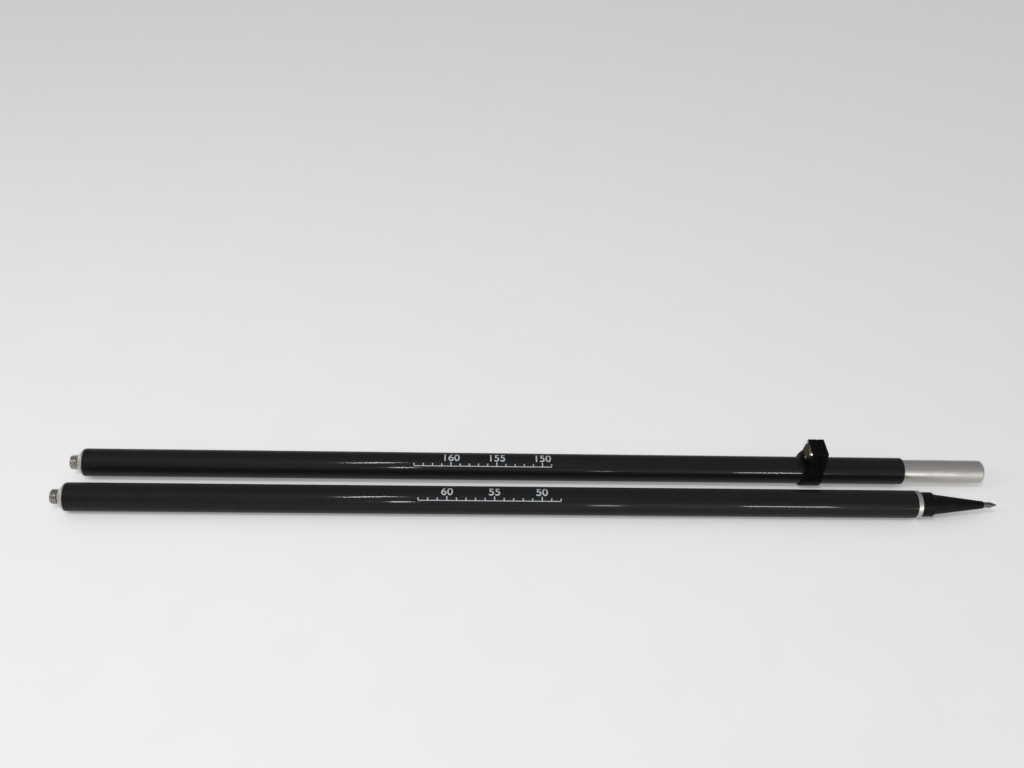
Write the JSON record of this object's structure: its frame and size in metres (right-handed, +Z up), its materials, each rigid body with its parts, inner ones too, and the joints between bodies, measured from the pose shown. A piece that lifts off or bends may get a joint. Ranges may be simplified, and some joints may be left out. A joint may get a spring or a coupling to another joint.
{
  "type": "survey rover pole",
  "caption": "Two-piece carbon-fibre survey rover pole, taken down: a lower section with a ground point and an upper section with a clamp-on circular level and a joint sleeve.",
  "frame": {"origin": "middle of the footprint, on the surface that the two sections lie on", "axes": "+X along the sections, from the studs to the ground point; +Y from the lower to the upper section; +Z up"},
  "size_m": [1.0124, 0.085, 0.0576],
  "materials": {
    "carbon": "clear-coated twill carbon fibre, gloss",
    "turned_aluminium": "turned, satin",
    "stud_metal": "machined thread",
    "point_black": "black anodised, matt",
    "tip_steel": "ground",
    "bracket_black": "black anodised, satin",
    "liner_nylon": "moulded",
    "screw_steel": "bright plated",
    "rubber": "moulded",
    "vial_metal": "turned, bright",
    "vial_window": "clear",
    "vial_liquid": "yellow-green"
  },
  "bodies": {
    "lower_section": {"lower_tube": "carbon", "lower_end_plug": "turned_aluminium", "lower_stud": "stud_metal", "foot_plug": "turned_aluminium"},
    "point": {"point_body": "point_black"},
    "tip": {"point_tip": "tip_steel"},
    "upper_section": {"upper_tube": "carbon", "upper_end_plug": "turned_aluminium", "upper_stud": "stud_metal", "joint_sleeve": "turned_aluminium"},
    "liner": {"clamp_liner": "liner_nylon"},
    "bracket": {"clamp_bracket": "bracket_black", "level_washers": "rubber"},
    "set_screw": {"clamp_screw": "screw_steel"},
    "level": {"level_housing": "bracket_black", "vial_cup": "vial_metal", "vial_seal": "rubber", "vial_fluid": "vial_liquid", "vial_lens": "vial_window"},
    "bottom_screw": {"adjusting_screw_bottom": "screw_steel"},
    "top_near_screw": {"adjusting_screw_top_near": "screw_steel"},
    "top_far_screw": {"adjusting_screw_top_far": "screw_steel"}
  },
  "joints": [
    {"name": "upper_lift", "type": "slide", "parent": "lower_section", "child": "upper_section", "axis": [0, 0, 1], "range_m": [0, 0.3]},
    {"name": "point_turn", "type": "hinge", "parent": "lower_section", "child": "point", "pos_m": [0.41435, -0.0275, 0.015], "axis": [1, 0, 0], "range_deg": [0, 3600]},
    {"name": "tip_turn", "type": "hinge", "parent": "point", "child": "tip", "pos_m": [0.4868, -0.0275, 0.015], "axis": [1, 0, 0], "range_deg": [0, 5400]},
    {"name": "level_slide", "type": "slide", "parent": "upper_section", "child": "liner", "axis": [1, 0, 0], "range_m": [-0.7782, 0.0918]},
    {"name": "level_swivel", "type": "hinge", "parent": "liner", "child": "bracket", "pos_m": [0.3074, 0.025, 0.0175], "axis": [1, 0, 0], "range_deg": [-95, 45]},
    {"name": "set_screw_turn", "type": "hinge", "parent": "bracket", "child": "set_screw", "pos_m": [0.3074, 0.03685, 0.03085], "axis": [0, 0.6639, 0.7478], "range_deg": [0, 720]},
    {"name": "level_tilt", "type": "hinge", "parent": "bracket", "child": "level", "pos_m": [0.3109, 0.01973, 0.05321], "axis": [0, 0.9893, 0.1461], "range_deg": [-0.7, 0.7]},
    {"name": "bottom_screw_turn", "type": "hinge", "parent": "level", "child": "bottom_screw", "pos_m": [0.3002, 0.02196, 0.03808], "axis": [-1, 0, 0], "range_deg": [-150, 150]},
    {"name": "top_near_screw_turn", "type": "hinge", "parent": "level", "child": "top_near_screw", "pos_m": [0.3002, 0.01099, 0.05192], "axis": [-1, 0, 0], "range_deg": [-150, 150]},
    {"name": "top_far_screw_turn", "type": "hinge", "parent": "level", "child": "top_far_screw", "pos_m": [0.3002, 0.02847, 0.0545], "axis": [-1, 0, 0], "range_deg": [-150, 150]}
  ],
  "couplings": [
    {"joint": "bottom_screw_turn", "follows": "level_tilt", "ratio": 213.63}
  ]
}
